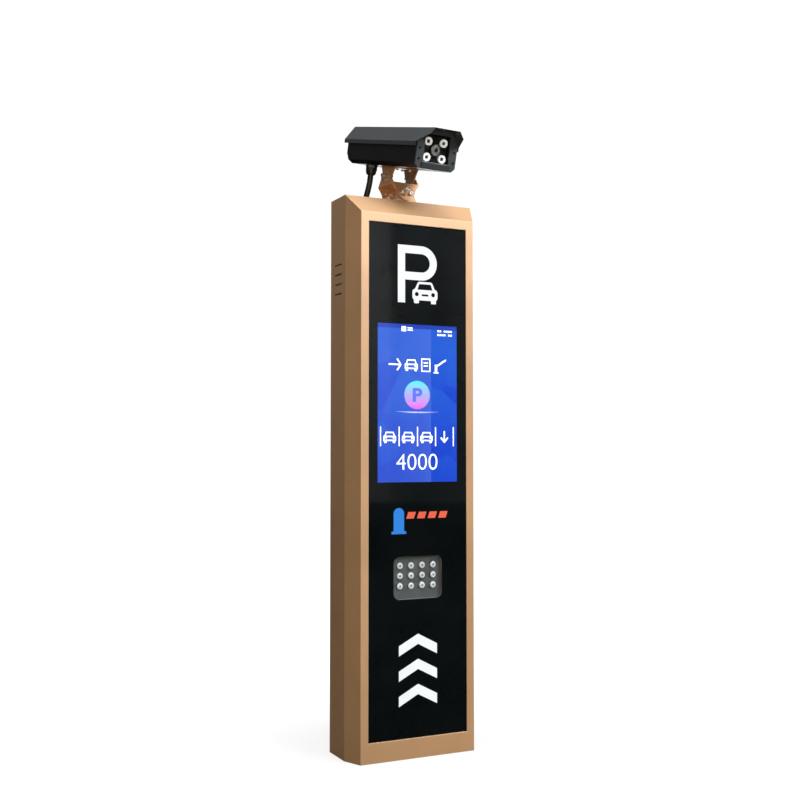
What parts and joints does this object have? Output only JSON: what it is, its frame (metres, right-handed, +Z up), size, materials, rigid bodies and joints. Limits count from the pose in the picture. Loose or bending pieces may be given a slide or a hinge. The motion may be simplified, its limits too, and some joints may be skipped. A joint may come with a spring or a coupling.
{
  "type": "parking lane terminal",
  "caption": "Slim steel column with a lit glass front, portrait display, fill lamp and rear service door, topped by a plate-reading camera on a tilting bracket.",
  "frame": {"origin": "on the floor, at the centre of the four anchor holes in the floor plate", "axes": "+Z up, the glass front faces -Y, +X to the right of someone who faces the front"},
  "size_m": [0.37, 0.4397, 1.7021],
  "materials": {
    "champagne_paint": "satin metallic powder coat",
    "zinc_steel": "zinc plated",
    "stainless": "polished",
    "chromed": "polished",
    "black_rubber": "matte",
    "lead_jacket": "satin",
    "gland_nylon": "matte",
    "clear_glass": "polished",
    "black_print": "gloss",
    "white_print": "gloss, lit from behind",
    "blue_print": "gloss",
    "coral_print": "gloss",
    "display_picture": "lit",
    "green_board": "solder mask",
    "white_board": "solder mask",
    "white_tray": "matte",
    "grey_tray": "satin",
    "lens_plastic": "clear",
    "bare_aluminium": "satin",
    "black_aluminium": "anodised",
    "white_plastic": "satin",
    "toggle_plastic": "satin",
    "terminal_plastic": "satin",
    "brass": "satin",
    "speaker_steel": "matte",
    "speaker_paper": "matte",
    "fan_plastic": "satin",
    "camera_paint": "fine-texture powder coat",
    "lens_black": "anodised",
    "lens_glass": "coated",
    "reflector": "polished"
  },
  "bodies": {
    "cabinet": {"front_frame": "champagne_paint", "side_wrap": "champagne_paint", "back_frame": "champagne_paint", "base_plate": "zinc_steel", "screen_straps": "zinc_steel", "equipment_plate": "zinc_steel", "din_rail": "zinc_steel", "cabinet_fasteners": "zinc_steel", "hinge_frame_leaves": "zinc_steel", "screen_frame": "zinc_steel", "pan_bolt": "stainless", "cable_grommet": "black_rubber", "glass_tape": "black_rubber", "door_seal": "black_rubber", "camera_lead": "lead_jacket", "cabinet_gland": "gland_nylon", "front_glass": "clear_glass", "glass_print": "black_print", "sign_print": "white_print", "mark_post": "blue_print", "mark_arm": "coral_print", "screen_panel": "display_picture", "screen_board": "green_board", "sign_leds": "white_board", "lamp_board": "white_board", "sign_trays": "white_tray", "lamp_tray": "grey_tray", "lamp_lenses": "lens_plastic", "lamp_heat_sink": "bare_aluminium", "power_supply": "bare_aluminium", "controller": "black_aluminium", "breaker_case": "white_plastic", "terminal_blocks": "terminal_plastic", "earth_bar": "brass", "speaker_frame": "speaker_steel", "speaker_cone": "speaker_paper", "fan_frame": "fan_plastic"},
    "door": {"rear_door": "champagne_paint", "hinge_door_leaves": "zinc_steel", "lock_barrel": "chromed"},
    "lock": {"lock_cam": "chromed"},
    "fan": {"fan_rotor": "fan_plastic"},
    "toggle": {"breaker_toggle": "toggle_plastic"},
    "pan_foot": {"bracket_base": "champagne_paint", "roll_screws": "stainless"},
    "roll_yoke": {"bracket_cross": "champagne_paint"},
    "camera": {"bracket_top": "champagne_paint", "camera_screws": "stainless", "housing_body": "camera_paint", "rear_cap": "camera_paint", "sunshield": "camera_paint", "window_frame": "camera_paint", "window_pane": "clear_glass", "lens_barrel": "lens_black", "lens_glass": "lens_glass", "flash_board": "lens_black", "flash_lamps": "reflector", "camera_module": "black_aluminium", "camera_gland_parts": "gland_nylon"}
  },
  "joints": [
    {"name": "door_hinge", "type": "hinge", "parent": "cabinet", "child": "door", "pos_m": [0.171, 0.0804, 0.7], "axis": [0, 0, -1], "range_deg": [0, 110]},
    {"name": "lock_turn", "type": "hinge", "parent": "door", "child": "lock", "pos_m": [-0.135, 0.06, 0.692], "axis": [0, 1, 0], "range_deg": [-90, 0]},
    {"name": "fan_spin", "type": "hinge", "parent": "cabinet", "child": "fan", "pos_m": [0.17, 0.023, 1.23375], "axis": [1, 0, 0], "continuous": true},
    {"name": "breaker_switch", "type": "hinge", "parent": "cabinet", "child": "toggle", "pos_m": [-0.12, 0.0415, 0.3], "axis": [-1, 0, 0], "range_deg": [0, 50]},
    {"name": "camera_pan", "type": "hinge", "parent": "cabinet", "child": "pan_foot", "pos_m": [-0.01, 0.025, 1.45], "axis": [0, 0, 1], "range_deg": [-45, 45], "deforming": ["camera_lead"]},
    {"name": "camera_roll", "type": "hinge", "parent": "pan_foot", "child": "roll_yoke", "pos_m": [-0.01, 0.025, 1.484], "axis": [-0.0872, 0.9962, 0], "range_deg": [-15, 15]},
    {"name": "camera_tilt", "type": "hinge", "parent": "roll_yoke", "child": "camera", "pos_m": [-0.01, 0.025, 1.5135], "axis": [0.9962, 0.0872, 0], "range_deg": [-20, 12]}
  ]
}
